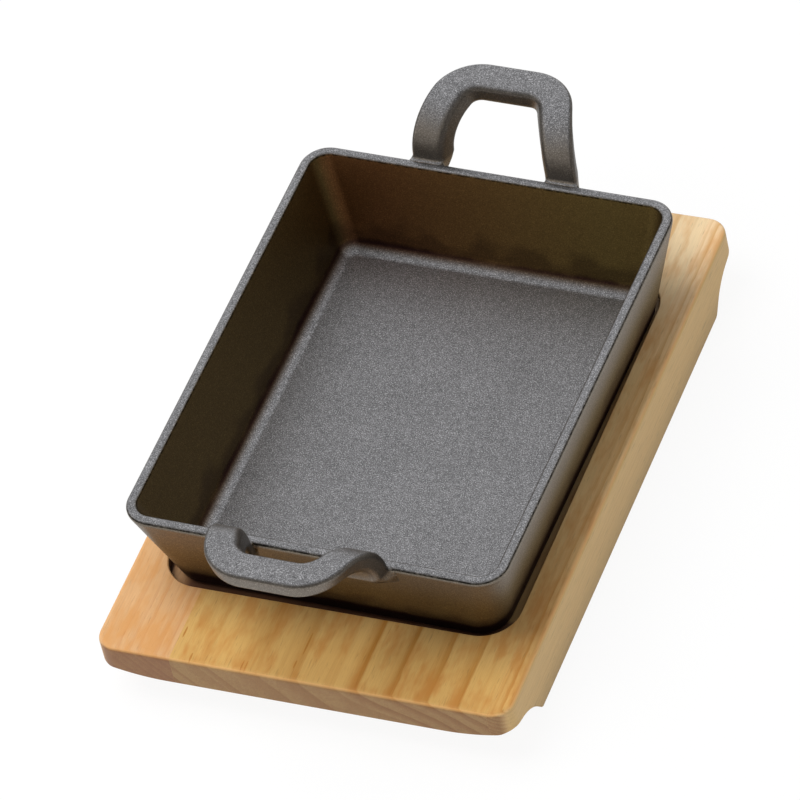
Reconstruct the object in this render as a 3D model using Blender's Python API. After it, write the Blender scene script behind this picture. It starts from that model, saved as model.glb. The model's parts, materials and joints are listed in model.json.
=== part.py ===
"""Rectangular cast-iron serving pan with two loop handles, seated in the recess of a wooden board.

The frame has +Z up and +Y along the board. Its origin is on the table, under the middle of the board.
"""

import math

import bmesh
import bpy
from mathutils import Matrix, Vector

# Board, glued up edge to edge from three staves
BOARD_LENGTH = 0.2664
BOARD_WIDTH = 0.174
BOARD_THICKNESS = 0.028
BOARD_CORNER_RADIUS = 0.009
BOARD_EDGE_ROUND = 0.002
LEFT_STAVE_WIDTH = 0.0327
RIGHT_STAVE_WIDTH = 0.0088

# Finger grips, hollowed out from below at both ends of the board, and higher at its corners
END_THICKNESS = 0.0152
GRIP_FLAT = 0.0085
GRIP_COVE_RADIUS = 0.0240
GRIP_FOOT_RADIUS = 0.0090
GRIP_CORNER_LIFT = 0.0053
GRIP_CORNER_REACH = 0.0290

# Recess that the pan stands in, and the shares of its clearance that the loose pan uses up
RECESS_DEPTH = 0.0050
RECESS_CLEARANCE = 0.0032
SEAT_SHIFT_SHARE = 0.34
SEAT_TURN_SHARE = 0.44

# Pan body
RIM_LENGTH = 0.207
RIM_WIDTH = 0.161
PAN_HEIGHT = 0.0464
RIM_CORNER_RADIUS = 0.012
SIDE_DRAFT = 0.0110
END_DRAFT = 0.0120
WALL_THICKNESS = 0.0047
FLOOR_THICKNESS = 0.0045
RIM_OUTER_ROUND = 0.0024
RIM_INNER_ROUND = 0.0012
BASE_ROUND = 0.0025
FLOOR_FILLET = 0.0050

# Loop handles, cast with the pan: each strap rises from the end wall and bends outwards
HANDLE_ROOT_WIDTH = 0.0719
HANDLE_END_WIDTH = 0.0515
HANDLE_STRAP_LENGTH = 0.0495
HANDLE_BEND_RADIUS = 0.0237
HANDLE_BEND_ANGLE = math.radians(87.2)
HANDLE_THICKNESS = 0.0085
HANDLE_STRAP_WIDTH = 0.0136
HANDLE_LINE_RADIUS = 0.0143
HANDLE_EDGE_ROUND = 0.0024
HANDLE_ARM_OUTER_DRAFT = 0.30
HANDLE_ARM_HOLE_DRAFT = 0.44
HANDLE_END_OUTER_DRAFT = 0.13
HANDLE_END_HOLE_DRAFT = 0.14
HANDLE_SET_IN = 0.0004
HANDLE_ROOT_FLARE = 0.0015
HANDLE_ROOT_SINK = 0.0006
HANDLE_HAUNCH = 0.0120
HANDLE_FULL_ABOVE = 0.0022

# Gaps between pieces, and how far a cutter stands out of what it cuts
SEAT_GAP = 0.0003
GLUE_GAP = 0.0003
CUTTER_MARGIN = 0.010
CUTTER_RUN_OUT = 0.0002

# Fineness of the curved surfaces
CORNER_STEPS = 8
FILLET_STEPS = 4
ROUND_SEGMENTS = 2
GRIP_STEPS = 6
ARM_STEPS = 8
STRAP_STEP = 0.0026
ROOT_STEP = 0.0006
STAVE_SMOOTH_DEGREES = 20
CASTING_SMOOTH_DEGREES = 40

PAN_BOTTOM = BOARD_THICKNESS - RECESS_DEPTH + SEAT_GAP

IRON = ("cast_iron", (0.035, 0.034, 0.034), 0.55, 0.6)
LEFT_WOOD = ("pine_left", (0.62, 0.36, 0.17), 0.55, 0.0)
MIDDLE_WOOD = ("pine_middle", (0.62, 0.43, 0.20), 0.55, 0.0)
RIGHT_WOOD = ("pine_right", (0.60, 0.37, 0.16), 0.55, 0.0)


def clear_scene():
    for obj in list(bpy.data.objects):
        bpy.data.objects.remove(obj, do_unlink=True)


def new_collection(name):
    collection = bpy.data.collections.new(name)
    bpy.context.scene.collection.children.link(collection)
    return collection


def new_material(name, colour, roughness, metallic):
    material = bpy.data.materials.new(name)
    material.use_nodes = True
    shader = material.node_tree.nodes["Principled BSDF"]
    shader.inputs["Base Color"].default_value = (*colour, 1.0)
    shader.inputs["Roughness"].default_value = roughness
    shader.inputs["Metallic"].default_value = metallic
    material.diffuse_color = (*colour, 1.0)
    return material


def new_object(name, mesh, collection):
    obj = bpy.data.objects.new(name, mesh)
    collection.objects.link(obj)
    return obj


def hide(obj):
    obj.hide_render = True
    obj.display_type = "WIRE"
    return obj


def add_boolean(obj, other, operation):
    modifier = obj.modifiers.new(operation.title() + " " + other.name, "BOOLEAN")
    modifier.operation = operation
    modifier.object = other
    modifier.solver = "EXACT"
    return modifier


def rounded(corners, steps):
    """The line through corners (x, y, radius), with an arc at each corner that has a radius."""
    points = []
    for index, (x, y, radius) in enumerate(corners):
        here = Vector((x, y))
        if radius <= 0:
            points.append(here)
            continue
        before = (Vector(corners[index - 1][:2]) - here).normalized()
        after = (Vector(corners[(index + 1) % len(corners)][:2]) - here).normalized()
        half = before.angle(after) / 2
        middle = here + (before + after).normalized() * radius / math.sin(half)
        start = here + before * radius / math.tan(half) - middle
        turn = start.angle_signed(here + after * radius / math.tan(half) - middle)
        for step in range(steps + 1):
            points.append(middle + Matrix.Rotation(-turn * step / steps, 2) @ start)
    return points


def rounded_rectangle(half_x, half_y, radius, steps=CORNER_STEPS):
    corners = [(half_x, -half_y), (half_x, half_y), (-half_x, half_y), (-half_x, -half_y)]
    return rounded([(x, y, radius) for x, y in corners], steps)


def flat_curve(name, outline, thickness, edge_round, collection):
    """A filled flat outline of this thickness, whose edges above and below are rounded."""
    curve = bpy.data.curves.new(name, "CURVE")
    curve.dimensions = "2D"
    curve.fill_mode = "BOTH"
    curve.extrude = thickness / 2 - edge_round
    curve.bevel_depth = edge_round
    curve.bevel_resolution = ROUND_SEGMENTS - 1
    curve.offset = -edge_round
    spline = curve.splines.new("POLY")
    spline.points.add(len(outline) - 1)
    for point, place in zip(spline.points, outline):
        point.co = (place[0], place[1], 0, 1)
    spline.use_cyclic_u = True
    return new_object(name, curve, collection)


def curve_to_mesh(obj):
    """The curve object as one closed mesh object of the same name and place."""
    name, place, collection = obj.name, obj.matrix_world.copy(), obj.users_collection[0]
    graph = bpy.context.evaluated_depsgraph_get()
    mesh = bpy.data.meshes.new_from_object(obj.evaluated_get(graph))
    bpy.data.objects.remove(obj, do_unlink=True)
    shape = bmesh.new()
    shape.from_mesh(mesh)
    bmesh.ops.remove_doubles(shape, verts=shape.verts, dist=1e-6)
    bmesh.ops.recalc_face_normals(shape, faces=shape.faces)
    shape.to_mesh(mesh)
    shape.free()
    made = new_object(name, mesh, collection)
    made.matrix_world = place
    return made


def smooth(obj, degrees):
    obj.data.shade_smooth()
    obj.data.set_sharp_from_angle(angle=math.radians(degrees))


def plan_prism(name, outline, bottom, top, collection, edge_round=0.0):
    """An upright prism on an outline in the XY plane."""
    obj = flat_curve(name, outline, top - bottom, edge_round, collection)
    obj.location.z = (top + bottom) / 2
    bpy.context.view_layer.update()
    return curve_to_mesh(obj)


def loft(name, rings):
    """One closed mesh through rings of places, which all have the same count."""
    shape = bmesh.new()
    loops = [[shape.verts.new(place) for place in ring] for ring in rings]
    for lower, upper in zip(loops, loops[1:]):
        for index in range(len(lower)):
            shape.faces.new((lower[index - 1], lower[index], upper[index], upper[index - 1]))
    shape.faces.new(loops[0])
    shape.faces.new(loops[-1])
    shape.normal_update()
    bmesh.ops.triangulate(shape, faces=shape.faces)
    bmesh.ops.recalc_face_normals(shape, faces=shape.faces)
    mesh = bpy.data.meshes.new(name)
    shape.to_mesh(mesh)
    shape.free()
    return mesh


def grip_section(across):
    """The hollow's outline seen from the side, at a place across the board.

    A lip that rises to the end near the board's corners, then a cove and a rounded foot that meet
    the underside.
    """
    outward = 1 - (BOARD_WIDTH / 2 - abs(across)) / GRIP_CORNER_REACH
    lift = GRIP_CORNER_LIFT * min(max(outward, 0), 1) ** 2
    lip = BOARD_THICKNESS - END_THICKNESS
    end = BOARD_LENGTH / 2 + CUTTER_RUN_OUT
    radii = GRIP_COVE_RADIUS + GRIP_FOOT_RADIUS
    slope = math.acos(1 - min(lip / radii, 1))
    tangent = math.tan(slope / 2)
    cove = end - GRIP_FLAT - GRIP_COVE_RADIUS * tangent
    foot = cove - radii * tangent * math.cos(slope)
    corners = [
        (foot - GRIP_FOOT_RADIUS * tangent - CUTTER_MARGIN, 0, 0),
        (foot, 0, GRIP_FOOT_RADIUS),
        (cove, lip, GRIP_COVE_RADIUS),
        (end, lip + lift, BOARD_EDGE_ROUND),
        (end, BOARD_THICKNESS, 0),
        (end + CUTTER_MARGIN, BOARD_THICKNESS, 0),
        (end + CUTTER_MARGIN, -CUTTER_MARGIN, 0),
        (foot - GRIP_FOOT_RADIUS * tangent - CUTTER_MARGIN, -CUTTER_MARGIN, 0),
    ]
    return rounded(corners, CORNER_STEPS)


def grip_cutter(side, collection):
    facing = 1 if side == "rear" else -1
    corner = [BOARD_WIDTH / 2 - GRIP_CORNER_REACH * step / GRIP_STEPS for step in range(GRIP_STEPS + 1)]
    half = [BOARD_WIDTH / 2 + CUTTER_MARGIN] + corner
    places = half + [-across for across in reversed(half)]
    rings = [[(across, facing * y, z) for y, z in grip_section(across)] for across in places]
    name = "grip_cutter_" + side
    return hide(new_object(name, loft(name, rings), collection))


def pan_half_sizes(height):
    """Half width and half length of the pan's outside, at a height above its bottom."""
    drawn_in = 1 - height / PAN_HEIGHT
    return RIM_WIDTH / 2 - SIDE_DRAFT * drawn_in, RIM_LENGTH / 2 - END_DRAFT * drawn_in


def recess_cutter(collection):
    """The recess follows the pan where it passes the board's top, with a clearance all round."""
    half_x, half_y = pan_half_sizes(RECESS_DEPTH - SEAT_GAP)
    outline = rounded_rectangle(
        half_x + RECESS_CLEARANCE, half_y + RECESS_CLEARANCE, RIM_CORNER_RADIUS + RECESS_CLEARANCE
    )
    floor = BOARD_THICKNESS - RECESS_DEPTH
    top = BOARD_THICKNESS + CUTTER_MARGIN
    return hide(plan_prism("recess_cutter", outline, floor, top, collection))


def stave_cutter(name, left, right, collection):
    half_y = BOARD_LENGTH / 2 + CUTTER_MARGIN
    outline = [(left, -half_y), (right, -half_y), (right, half_y), (left, half_y)]
    top = BOARD_THICKNESS + CUTTER_MARGIN
    return hide(plan_prism(name, outline, -CUTTER_MARGIN, top, collection))


def build_board(parts, cutters):
    """Three staves cut from one blank, so that the recess and the grips run across the joints."""
    outline = rounded_rectangle(BOARD_WIDTH / 2, BOARD_LENGTH / 2, BOARD_CORNER_RADIUS)
    grips = [grip_cutter(side, cutters) for side in ("front", "rear")]
    recess = recess_cutter(cutters)
    outside = BOARD_WIDTH / 2 + CUTTER_MARGIN
    left_joint = LEFT_STAVE_WIDTH - BOARD_WIDTH / 2
    right_joint = BOARD_WIDTH / 2 - RIGHT_STAVE_WIDTH
    half_gap = GLUE_GAP / 2
    spans = {
        "left": (-outside, left_joint - half_gap, LEFT_WOOD),
        "middle": (left_joint + half_gap, right_joint - half_gap, MIDDLE_WOOD),
        "right": (right_joint + half_gap, outside, RIGHT_WOOD),
    }
    for side, (left, right, wood) in spans.items():
        name = "board_stave_" + side
        stave = plan_prism(name, outline, 0, BOARD_THICKNESS, parts, BOARD_EDGE_ROUND)
        for grip in grips:
            add_boolean(stave, grip, "DIFFERENCE")
        add_boolean(stave, recess, "DIFFERENCE")
        slab = stave_cutter("stave_span_" + side, left, right, cutters)
        add_boolean(stave, slab, "INTERSECT")
        stave.data.materials.append(new_material(*wood))
        smooth(stave, STAVE_SMOOTH_DEGREES)


def wall_section():
    """The pan's wall from the bottom, over the rim and down to the floor.

    Each point is (depth into the wall, height), where the depth is counted from the drafted outside.
    """
    reach = 2 * (FLOOR_FILLET + BASE_ROUND)
    corners = [
        (reach, 0, 0),
        (0, 0, BASE_ROUND),
        (0, PAN_HEIGHT, RIM_OUTER_ROUND),
        (WALL_THICKNESS, PAN_HEIGHT, RIM_INNER_ROUND),
        (WALL_THICKNESS, FLOOR_THICKNESS, FLOOR_FILLET),
        (WALL_THICKNESS + reach, FLOOR_THICKNESS, 0),
    ]
    return rounded(corners, FILLET_STEPS)


def pan_ring(depth, height):
    """The rounded rectangle that a point of the section traces round the pan."""
    half_x, half_y = pan_half_sizes(height)
    radius = max(RIM_CORNER_RADIUS - depth, BASE_ROUND)
    return rounded_rectangle(half_x - depth, half_y - depth, radius)


def pan_seat(collection):
    """The empty at the middle of the pan's underside. The pan is loose: shifted and turned a little."""
    seat = new_object("pan_seat", None, collection)
    turn = SEAT_TURN_SHARE * RECESS_CLEARANCE / (RIM_LENGTH / 2)
    seat.location = (SEAT_SHIFT_SHARE * RECESS_CLEARANCE, 0, PAN_BOTTOM)
    seat.rotation_euler.z = -math.atan(turn)
    return seat


def build_pan_body(seat, collection):
    """The section swept round the pan, with the underside and the floor closed by flat faces."""
    shape = bmesh.new()
    rings = []
    for depth, height in wall_section():
        rings.append([shape.verts.new((*place, height)) for place in pan_ring(depth, height)])
    for lower, upper in zip(rings, rings[1:]):
        for index in range(len(lower)):
            shape.faces.new((lower[index - 1], lower[index], upper[index], upper[index - 1]))
    shape.faces.new(rings[0])
    shape.faces.new(rings[-1])
    bmesh.ops.recalc_face_normals(shape, faces=shape.faces)
    mesh = bpy.data.meshes.new("pan_casting")
    shape.to_mesh(mesh)
    shape.free()
    body = new_object("pan_casting", mesh, collection)
    body.parent = seat
    smooth(body, CASTING_SMOOTH_DEGREES)
    return body


def strap_course(along):
    """The strap's angle from upright, and how far outwards and up its inner face has come."""
    angle = min(max(along / HANDLE_BEND_RADIUS, 0), HANDLE_BEND_ANGLE)
    past = along - angle * HANDLE_BEND_RADIUS
    outwards = HANDLE_BEND_RADIUS * (1 - math.cos(angle)) + past * math.sin(angle)
    up = HANDLE_BEND_RADIUS * math.sin(angle) + past * math.cos(angle)
    return angle, outwards, up


def strap_line():
    """The strap's middle line laid flat, from root to root: x across the pan, y up from the rim's top.

    Seen from above the arms are straight and draw together. Points stand closer near the roots.
    """
    half = HANDLE_STRAP_WIDTH / 2
    top = HANDLE_STRAP_LENGTH - half
    taper = (HANDLE_ROOT_WIDTH - HANDLE_END_WIDTH) / 2 / strap_course(HANDLE_STRAP_LENGTH)[1]

    def arm(along, radius=0):
        return HANDLE_ROOT_WIDTH / 2 - half - taper * strap_course(along)[1], along, radius

    straight = top - HANDLE_LINE_RADIUS
    corners = [arm(-HANDLE_HAUNCH)]
    corners += [arm(straight * step / ARM_STEPS) for step in range(ARM_STEPS)]
    corners += [arm(top, HANDLE_LINE_RADIUS)]
    corners += [(-x, y, radius) for x, y, radius in reversed(corners)]
    line = rounded(corners, CORNER_STEPS)
    points = []
    for start, stop in zip(line, line[1:]):
        here = start
        while (stop - here).length > ROOT_STEP:
            points.append(here)
            step = min(max(abs(here.y) / 3, ROOT_STEP), STRAP_STEP, (stop - here).length)
            here = here + (stop - start).normalized() * step
    points.append(line[-1])
    return points


def strap_section():
    """The strap's section as (across, depth), with the depth counted from its inner and upper face."""
    half = HANDLE_STRAP_WIDTH / 2
    corners = [(half, 0), (half, HANDLE_THICKNESS), (-half, HANDLE_THICKNESS), (-half, 0)]
    return rounded([(x, y, HANDLE_EDGE_ROUND) for x, y in corners], ROUND_SEGMENTS)


def end_wall_face(along):
    """How far outwards the end wall's outer face lies from the strap's inner face, below the rim."""
    return HANDLE_SET_IN + END_DRAFT / PAN_HEIGHT * min(along, 0)


def strap_depths(along):
    """How deep the strap's inner and outer faces lie, counted outwards from its inner face.

    Below the rim's top the inner face moves to the wall's middle, and the outer face runs out into it.
    """
    buried = min(max(-(along + HANDLE_ROOT_SINK) / HANDLE_HAUNCH * FILLET_STEPS, 0), 1)
    inner = (end_wall_face(along) - WALL_THICKNESS / 2) * buried
    toe = end_wall_face(-HANDLE_HAUNCH) - HANDLE_ROOT_SINK
    share = min(max((along + HANDLE_HAUNCH) / (HANDLE_HAUNCH + HANDLE_FULL_ABOVE), 0), 1)
    swell = share * share * (3 - 2 * share)
    return inner, toe + (HANDLE_THICKNESS - toe) * swell


def widened(across, along):
    """The place across the strap after the cast fillet at the root."""
    near = min(max(1 - along / HANDLE_ROOT_FLARE, 0), 1)
    flare = HANDLE_ROOT_FLARE * (1 - math.sqrt(1 - near * near))
    return across * (1 + 2 * flare / HANDLE_STRAP_WIDTH)


def draft(across, hole_draft, outer_draft):
    """How far a side moves towards the hole per depth, as the mould's draft."""
    return hole_draft + (outer_draft - hole_draft) * (across / HANDLE_STRAP_WIDTH + 0.5)


def bend(x, along, depth):
    """Where a point of the flat strap goes: across, outwards from the rim's edge, up from the rim's top."""
    angle, outwards, up = strap_course(along)
    return x, outwards + depth * math.cos(angle), up - depth * math.sin(angle)


def strap_ring(point, heading):
    """The section set across the strap's line at this point, then bent outwards with it."""
    outside = Vector((heading.y, -heading.x))
    ring = []
    for across, depth in strap_section():
        along = point.y + outside.y * across
        inner, outer = strap_depths(along)
        depth = inner + (outer - inner) * depth / HANDLE_THICKNESS
        arm_draft = draft(across, HANDLE_ARM_HOLE_DRAFT, HANDLE_ARM_OUTER_DRAFT) * max(depth, 0)
        end_draft = draft(across, HANDLE_END_HOLE_DRAFT, HANDLE_END_OUTER_DRAFT) * max(depth, 0)
        across = widened(across, along)
        x = point.x + outside.x * (across - arm_draft)
        y = point.y + outside.y * (across - end_draft)
        ring.append(bend(x, y, depth))
    return ring


def build_strap(side, seat, collection):
    """One handle: the section swept along the strap's line, and bent outwards."""
    line = strap_line()
    rings = []
    for index, point in enumerate(line):
        before = line[max(index - 1, 0)]
        after = line[min(index + 1, len(line) - 1)]
        rings.append(strap_ring(point, (after - before).normalized()))
    name = "handle_" + side
    strap = new_object(name, loft(name, rings), collection)
    facing = 1 if side == "rear" else -1
    strap.location = (0, facing * (RIM_LENGTH / 2 - HANDLE_SET_IN), PAN_HEIGHT)
    strap.rotation_euler.z = 0 if side == "rear" else math.pi
    strap.parent = seat
    smooth(strap, CASTING_SMOOTH_DEGREES)
    return hide(strap)


def build_pan(parts, cutters):
    """The body and both handles as the one casting that they are."""
    seat = pan_seat(parts)
    casting = build_pan_body(seat, parts)
    for side in ("front", "rear"):
        add_boolean(casting, build_strap(side, seat, cutters), "UNION")
    casting.data.materials.append(new_material(*IRON))


def main():
    clear_scene()
    parts = new_collection("serving_pan")
    cutters = new_collection("cutters")
    build_board(parts, cutters)
    build_pan(parts, cutters)


if __name__ == "__main__":
    main()
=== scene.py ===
"""The finish of a cast-iron serving pan that stands in the recess of a wooden board.

Units are metres. The frame has +Z up and +Y along the board, and its origin is on the table,
under the middle of the board.
"""

import json
import math
from types import SimpleNamespace

import bmesh
import bpy
from bpy.props import FloatProperty, FloatVectorProperty, PointerProperty
from bpy.types import Operator, Panel, PropertyGroup
from mathutils import Matrix, Vector

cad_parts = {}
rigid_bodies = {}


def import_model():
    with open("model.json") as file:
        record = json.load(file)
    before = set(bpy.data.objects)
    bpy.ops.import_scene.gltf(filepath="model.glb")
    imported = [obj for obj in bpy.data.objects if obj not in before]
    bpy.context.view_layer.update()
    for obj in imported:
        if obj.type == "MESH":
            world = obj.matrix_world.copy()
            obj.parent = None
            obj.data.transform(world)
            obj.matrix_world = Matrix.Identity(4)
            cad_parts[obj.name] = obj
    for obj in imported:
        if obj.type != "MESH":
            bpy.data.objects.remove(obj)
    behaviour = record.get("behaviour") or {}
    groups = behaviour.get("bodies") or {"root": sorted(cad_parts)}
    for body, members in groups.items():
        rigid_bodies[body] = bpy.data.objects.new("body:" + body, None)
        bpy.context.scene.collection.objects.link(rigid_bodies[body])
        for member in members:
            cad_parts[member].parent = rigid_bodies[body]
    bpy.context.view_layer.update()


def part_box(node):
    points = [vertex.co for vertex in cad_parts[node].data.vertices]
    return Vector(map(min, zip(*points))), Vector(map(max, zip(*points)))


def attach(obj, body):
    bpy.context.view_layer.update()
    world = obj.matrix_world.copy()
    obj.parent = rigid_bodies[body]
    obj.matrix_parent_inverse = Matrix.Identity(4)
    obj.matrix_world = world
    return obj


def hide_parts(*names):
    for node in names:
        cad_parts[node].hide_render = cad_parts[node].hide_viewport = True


bl_info = {
    "name": "Cast-Iron Serving Pan on a Board",
    "version": (1, 0, 0),
    "blender": (4, 5, 0),
    "location": "View3D > Sidebar > Serving Pan",
    "description": "Builds the pan's casting, the glued board under it, their finishes and the studio",
    "category": "Object",
}

for leftover in list(bpy.data.objects):
    bpy.data.objects.remove(leftover, do_unlink=True)
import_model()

STAVES = ("left", "middle", "right")
STAVE_BOXES = {stave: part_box("board_stave_" + stave) for stave in STAVES}
PAN_LOW, PAN_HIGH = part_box("pan_casting")
BOARD_LOW, BOARD_HIGH = STAVE_BOXES["left"][0], STAVE_BOXES["right"][1]

# Growth rings of each stave, over a width from low to high that repeats, as (start, edge,
# strength) across the board's top, in millimetres
RINGS = {
    "left": (-88.0, -54.0, [
        (-87.5, -83.6, 0.25), (-82.6, -79.9, 0.15), (-79.2, -76.4, 0.45), (-75.6, -71.6, 0.35),
        (-70.9, -68.0, 0.5), (-67.3, -64.2, 0.15), (-63.4, -60.4, 0.4), (-59.9, -56.7, 0.5),
    ]),
    "middle": (-54.2, 78.2, [
        (-51.5, -44.9, 0.25), (-44.2, -39.6, 0.5), (-30.5, -17.8, 0.5), (-11.0, -1.1, 0.6),
        (6.0, 14.6, 0.3), (17.0, 24.2, 0.95), (32.0, 39.1, 0.92), (46.0, 54.1, 0.92),
        (60.0, 66.7, 0.88), (71.4, 73.9, 0.5),
    ]),
    "right": (66.0, 87.2, [
        (67.0, 69.5, 0.7), (71.5, 73.2, 0.7), (75.0, 76.8, 0.7), (78.5, 80.6, 0.5),
        (81.5, 83.7, 0.9), (85.0, 86.2, 0.6),
    ]),
}
RING_EDGE = 0.45

# Resin flecks on the board's top, as (x, y, half width, half length) in millimetres
FLECKS = {
    "middle": [
        (-52.8, -118.7, 0.45, 3.4), (-45.9, -130.5, 0.45, 2.8), (-24.4, -130.0, 0.35, 3.2),
        (-22.8, -130.0, 0.35, 3.2), (-2.8, -114.0, 0.45, 6.4), (-4.0, -125.0, 0.40, 2.4),
    ]
}
FLECK_STRENGTH = 1.2

# Tones that multiply a colour: a lighter tone on the rear wall's inside, the rear top's light, and the
# sides' and the end grain's own tones, which also carry painted shade
WHITE = (1.0, 1.0, 1.0, 1.0)
REAR_WALL_TONE = (1.65, 1.70, 1.50, 1.0)
REAR_LIGHT = (1.08, 1.20, 1.55, 1.0)
FLANK_TONE = (0.785, 0.785, 0.66, 1.0)
END_TONE = (0.45, 0.38, 0.31, 1.0)

# Points on a handle's strap: their least and largest step, how many steps lead back to the rim,
# and the rest of a line that gets no more points
LEAST_STEP = 0.0002
LARGEST_STEP = 0.0006
STEPS_FROM_RIM = 6
SHORTEST_REST = 0.0003

# How many steps the curves and their corners have
ARM_STEPS = 24
STRAP_CORNER_STEPS = 28
RING_CORNER_STEPS = 20
GRIP_STEPS = 16
GRIP_CORNER_STEPS = 20

# How deep an arm's end is buried in the pan's wall, and how far its faces sink under the skin
ROOT_BURIED = 0.001
ROOT_SINK = 0.00005

# Share of its play by which the loose pan stands turned in the recess
SEAT_TURN = 0.44

# How far the cutters reach past the board, and the roundings at the foot of the recess
CUTTER_MARGIN = 0.010
CUTTER_RUN_OUT = 0.0002
RECESS_FLOOR_ROUND = 0.0003
RECESS_LEAST_RADIUS = 0.001

MILLIMETRES = 1000.0
MERGE_DISTANCE = 2e-6

# The studio: a floor just under the board, a lamp that looks at the origin, and the camera's sensor
FLOOR_LOW = Vector((-6, -6, -0.02))
FLOOR_HIGH = Vector((6, 6, -0.0002))
FLOOR_GLOW = 0.92
KEY_PLACE = Vector((-0.6, -0.1, 1.6))
SENSOR_WIDTH = 36.0


# Sizes and colours


def length(name, description, default):
    return FloatProperty(
        name=name, description=description, default=default, min=0.0, unit="LENGTH", precision=5
    )


def offset(name, description, default):
    return FloatProperty(name=name, description=description, default=default, unit="LENGTH", precision=5)


def share(name, description, default):
    return FloatProperty(name=name, description=description, default=default, min=0.0, precision=4)


def angle(name, description, degrees):
    return FloatProperty(
        name=name, description=description, default=math.radians(degrees), subtype="ANGLE", precision=5
    )


def colour(name, description, default):
    return FloatVectorProperty(
        name=name, description=description, default=default, min=0.0, max=1.0, subtype="COLOR"
    )


class ServingPanBoardSizes(PropertyGroup):
    """Sizes of the glued board, its recess and its finger grips"""

    corner_radius: length("Corner Radius", "Radius of the board's corners, seen from above", 0.009)
    edge_round: length("Edge Round", "Radius along the upper and lower edges", 0.002)
    glue_line: length("Glue Line", "Width of the joint between two staves", 0.00002)
    end_thickness: length("End Thickness", "Thickness left over each finger grip", 0.0152)
    corner_lift: length("Corner Lift", "Height by which a grip rises at the board's corners", 0.0053)
    corner_reach: length("Corner Reach", "Width of the rising part, from the board's side", 0.0290)
    grip_flat: length("Grip Flat", "Level part of the grip, from the board's end", 0.0085)
    cove_radius: length("Cove Radius", "Radius of the grip's hollow", 0.024)
    foot_radius: length("Foot Radius", "Radius where the grip meets the underside", 0.009)
    recess_depth: length("Recess Depth", "Depth of the recess under the pan", 0.005)
    recess_clearance: length("Recess Clearance", "Play between the pan and the recess", 0.0032)
    recess_arris: length("Recess Arris", "Width of the broken edge round the recess", 0.00045)


class ServingPanCastingSizes(PropertyGroup):
    """Sizes of the pan's casting and its two loop handles"""

    rim_length: length("Rim Length", "Length over the rim, without the handles", 0.207)
    rim_width: length("Rim Width", "Width over the rim", 0.161)
    height: length("Height", "Height from the underside to the top of the rim", 0.0464)
    corner_radius: length("Corner Radius", "Outer radius of the rim's corners", 0.012)
    side_draft: length("Side Draft", "How much each long wall leans out over its height", 0.011)
    end_draft: length("End Draft", "How much each end wall leans out over its height", 0.012)
    wall: length("Wall", "Thickness of the walls", 0.0047)
    floor: length("Floor", "Thickness of the floor", 0.0045)
    rim_outer_round: length("Rim Outer Round", "Radius along the rim's outer edge", 0.0024)
    rim_inner_round: length("Rim Inner Round", "Radius along the rim's inner edge", 0.0012)
    base_round: length("Base Round", "Radius round the underside", 0.0025)
    floor_fillet: length("Floor Fillet", "Radius between the floor and the walls", 0.005)
    handle_root: length("Handle Root", "Width over a handle's arms at the rim", 0.0719)
    handle_end: length("Handle End", "Width that the arms would have at the handle's end", 0.0515)
    handle_length: length("Handle Length", "Length of the flat strap from the rim to its end", 0.0495)
    handle_bend: length("Handle Bend", "Radius of the bend from upright to level", 0.0237)
    handle_angle: angle("Handle Angle", "Turn of the bend from upright to level", 87.2)
    handle_thickness: length("Handle Thickness", "Thickness of the strap", 0.0085)
    handle_width: length("Handle Width", "Width of the strap", 0.0136)
    handle_corner: length("Handle Corner", "Radius of the strap's middle line at the corners", 0.0143)
    handle_edge: length("Handle Edge", "Radius along the strap's edges", 0.0026)
    arm_outer_draft: share("Arm Outer Draft", "Lean of the arms' outer sides, per depth", 0.30)
    arm_hole_draft: share("Arm Hole Draft", "Lean of the hole's walls on the arms, per depth", 0.44)
    end_outer_draft: share("End Outer Draft", "Lean of the handle's end face, per depth", 0.13)
    end_hole_draft: share("End Hole Draft", "Lean of the hole's far wall, per depth", 0.14)
    handle_set_in: length("Handle Set In", "From the rim's outer edge to the arm's inner face", 0.0004)
    handle_haunch: length("Handle Haunch", "How far the arms run down the end wall", 0.012)
    full_above: length("Full Above", "Height over the rim at which the strap is full", 0.0022)
    root_fillet: length("Root Fillet", "Cast fillet where the arms meet the rim", 0.0017)


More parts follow.
